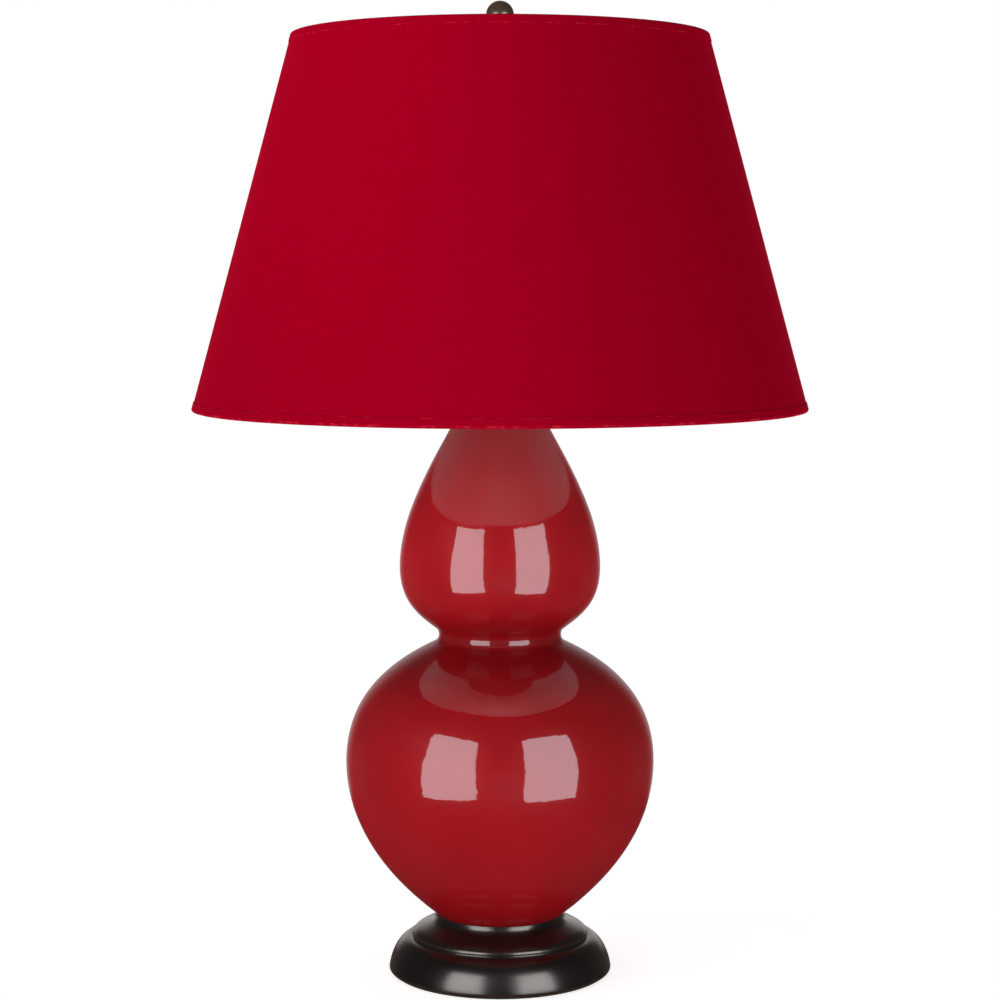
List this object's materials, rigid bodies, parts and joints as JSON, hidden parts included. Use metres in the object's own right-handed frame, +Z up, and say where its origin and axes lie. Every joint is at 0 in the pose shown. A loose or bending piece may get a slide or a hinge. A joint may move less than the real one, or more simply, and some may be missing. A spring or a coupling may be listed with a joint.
{
  "type": "table lamp",
  "caption": "Double gourd table lamp: hollow glazed ceramic gourd on a turned dark metal base, with a tapered fabric shade on a detachable harp under a ball finial.",
  "frame": {"origin": "centre of the lamp's underside, on the surface it stands on", "axes": "+Z up along the lamp's axis; -Y is the front, +Y the back with the cord inlet; the harp lies in the XZ plane"},
  "size_m": [0.4959, 0.496, 0.787],
  "materials": {
    "red_glaze": "glossy glaze",
    "dark_bronze": "satin oil-rubbed bronze",
    "red_fabric": "slubbed linen weave",
    "white_liner": "matt styrene",
    "brass": "satin",
    "zinc_steel": "zinc plated",
    "cast_weight": "as cast",
    "felt": "felt",
    "rubber": "matt",
    "black_plastic": "satin",
    "fibre_sleeve": "pressed fibre",
    "aluminium": "bright",
    "opal_glass": "frosted",
    "solder": "bright",
    "white_wire": "white"
  },
  "bodies": {
    "lamp_base": {"felt_pad": "felt", "base_shell": "dark_bronze", "base_weight": "cast_weight", "cord_bushing": "black_plastic", "bottom_nut": "zinc_steel", "bottom_washer": "zinc_steel", "seat_gasket": "rubber", "gourd_body": "red_glaze", "threaded_pipe": "zinc_steel", "vase_cap": "brass", "lock_washer": "zinc_steel", "lock_nut": "brass", "harp_saddle": "brass", "socket_cap": "brass", "socket_set_screw": "zinc_steel", "socket_shell": "brass", "socket_sleeve": "fibre_sleeve", "switch_block": "black_plastic", "terminal_screws": "brass", "screw_shell": "aluminium", "centre_contact": "brass"},
    "switch": {"switch_shaft": "brass", "switch_knob": "black_plastic"},
    "bulb": {"bulb_tip": "solder", "bulb_insulator": "black_plastic", "bulb_cap": "aluminium", "bulb_globe": "opal_glass"},
    "harp": {"harp_wire": "brass"},
    "left_ferrule": {"left_ferrule": "brass"},
    "right_ferrule": {"right_ferrule": "brass"},
    "harp_stud": {"harp_stud": "brass"},
    "shade": {"shade_spider": "brass", "bottom_ring": "white_wire", "shade_liner": "white_liner", "shade_cover": "red_fabric", "top_trim": "red_fabric", "bottom_trim": "red_fabric"},
    "finial": {"finial_ball": "dark_bronze", "finial_insert": "brass"}
  },
  "joints": [
    {"name": "switch_turn", "type": "hinge", "parent": "lamp_base", "child": "switch", "pos_m": [0, -0.025, 0.5265], "axis": [0, -1, 0], "continuous": true},
    {"name": "bulb_turn", "type": "hinge", "parent": "lamp_base", "child": "bulb", "pos_m": [0, 0, 0.55], "axis": [0, 0, 1], "continuous": true},
    {"name": "harp_lift", "type": "slide", "parent": "lamp_base", "child": "harp", "axis": [0, 0, 1], "range_m": [0, 0.14]},
    {"name": "left_ferrule_slide", "type": "slide", "parent": "harp", "child": "left_ferrule", "axis": [0, 0, 1], "range_m": [0, 0.013]},
    {"name": "right_ferrule_slide", "type": "slide", "parent": "harp", "child": "right_ferrule", "axis": [0, 0, 1], "range_m": [0, 0.013]},
    {"name": "shade_turn", "type": "hinge", "parent": "harp", "child": "harp_stud", "pos_m": [0, 0, 0.738], "axis": [0, 0, 1], "continuous": true},
    {"name": "shade_lift", "type": "slide", "parent": "harp_stud", "child": "shade", "axis": [0, 0, 1], "range_m": [0, 0.3]},
    {"name": "finial_turn", "type": "hinge", "parent": "shade", "child": "finial", "pos_m": [0, 0, 0.765], "axis": [0, 0, 1], "continuous": true}
  ]
}
